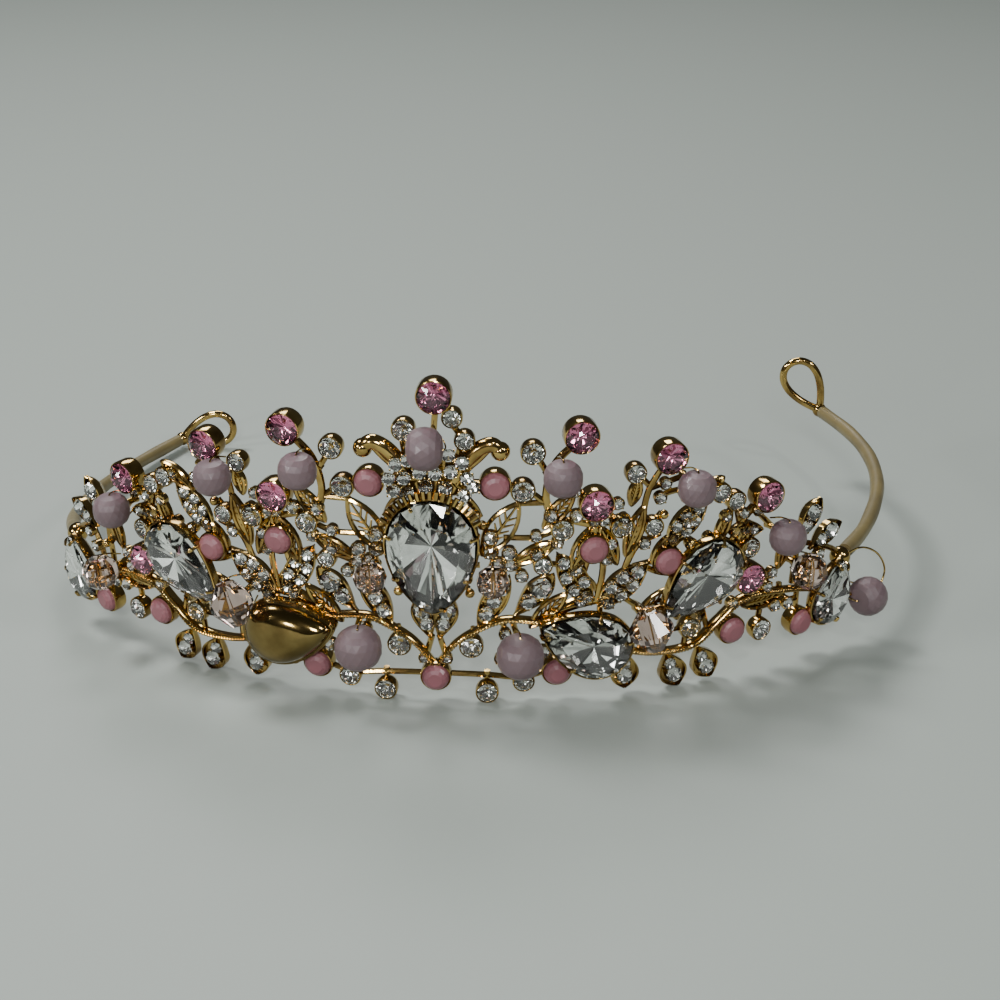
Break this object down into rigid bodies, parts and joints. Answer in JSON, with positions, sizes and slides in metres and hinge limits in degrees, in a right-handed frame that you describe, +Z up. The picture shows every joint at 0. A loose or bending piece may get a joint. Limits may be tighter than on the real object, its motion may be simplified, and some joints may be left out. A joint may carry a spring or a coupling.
{
  "type": "tiara",
  "caption": "Wired stage tiara: a pierced gilt front of vines, leaves and stone cups with crystals and beads, and two sleeved wire arms that end in loops",
  "frame": {"origin": "centre of the tiara's bounding box in plan, on the floor that it stands on", "axes": "+Z up, the jewelled front faces -Y, +X to the right of a viewer who faces the front"},
  "size_m": [0.1438, 0.1174, 0.0532],
  "materials": {
    "gold": "polished",
    "crystal": "faceted, foil-backed",
    "pink_stone": "faceted, foil-backed",
    "cabochon": "opaque, satin gloss",
    "mauve_bead": "milky, faceted",
    "peach_bead": "clear, faceted",
    "sleeve": "translucent, soft"
  },
  "bodies": {
    "root": {"arm_sleeve_left": "sleeve", "arm_sleeve_right": "sleeve", "arm_wire_left": "gold", "arm_wire_right": "gold", "bead_mauve_centre": "mauve_bead", "bead_mauve_end": "mauve_bead", "bead_mauve_inner_left": "mauve_bead", "bead_mauve_inner_right": "mauve_bead", "bead_mauve_large_left": "mauve_bead", "bead_mauve_large_right": "mauve_bead", "bead_mauve_middle_left": "mauve_bead", "bead_mauve_middle_right": "mauve_bead", "bead_mauve_outer_left": "mauve_bead", "bead_mauve_outer_right": "mauve_bead", "bead_peach_bicone_left": "peach_bead", "bead_peach_bicone_right": "peach_bead", "bead_peach_inner_left": "peach_bead", "bead_peach_inner_right": "peach_bead", "bead_peach_outer_left": "peach_bead", "bead_peach_outer_right": "peach_bead", "cabochon_base_left": "cabochon", "cabochon_base_right": "cabochon", "cabochon_crown_left": "cabochon", "cabochon_crown_right": "cabochon", "cabochon_end_left": "cabochon", "cabochon_end_right": "cabochon", "cabochon_foot": "cabochon", "cabochon_heart_left": "cabochon", "cabochon_heart_right": "cabochon", "cabochon_shoulder_left": "cabochon", "cabochon_shoulder_right": "cabochon", "cabochon_vine_left": "cabochon", "cabochon_vine_right": "cabochon", "gold_front": "gold", "pear_centre": "crystal", "pear_end_left": "crystal", "pear_end_right": "crystal", "pear_lower_left": "gold", "pear_lower_right": "crystal", "pear_upper_left": "crystal", "pear_upper_right": "crystal", "pink_stone_inner_left": "pink_stone", "pink_stone_inner_right": "pink_stone", "pink_stone_low_left": "pink_stone", "pink_stone_low_right": "pink_stone", "pink_stone_middle_left": "pink_stone", "pink_stone_middle_right": "pink_stone", "pink_stone_outer_left": "pink_stone", "pink_stone_outer_right": "pink_stone", "pink_stone_top": "pink_stone", "pink_stone_vine_left": "pink_stone", "pink_stone_vine_right": "pink_stone"}
  },
  "joints": []
}
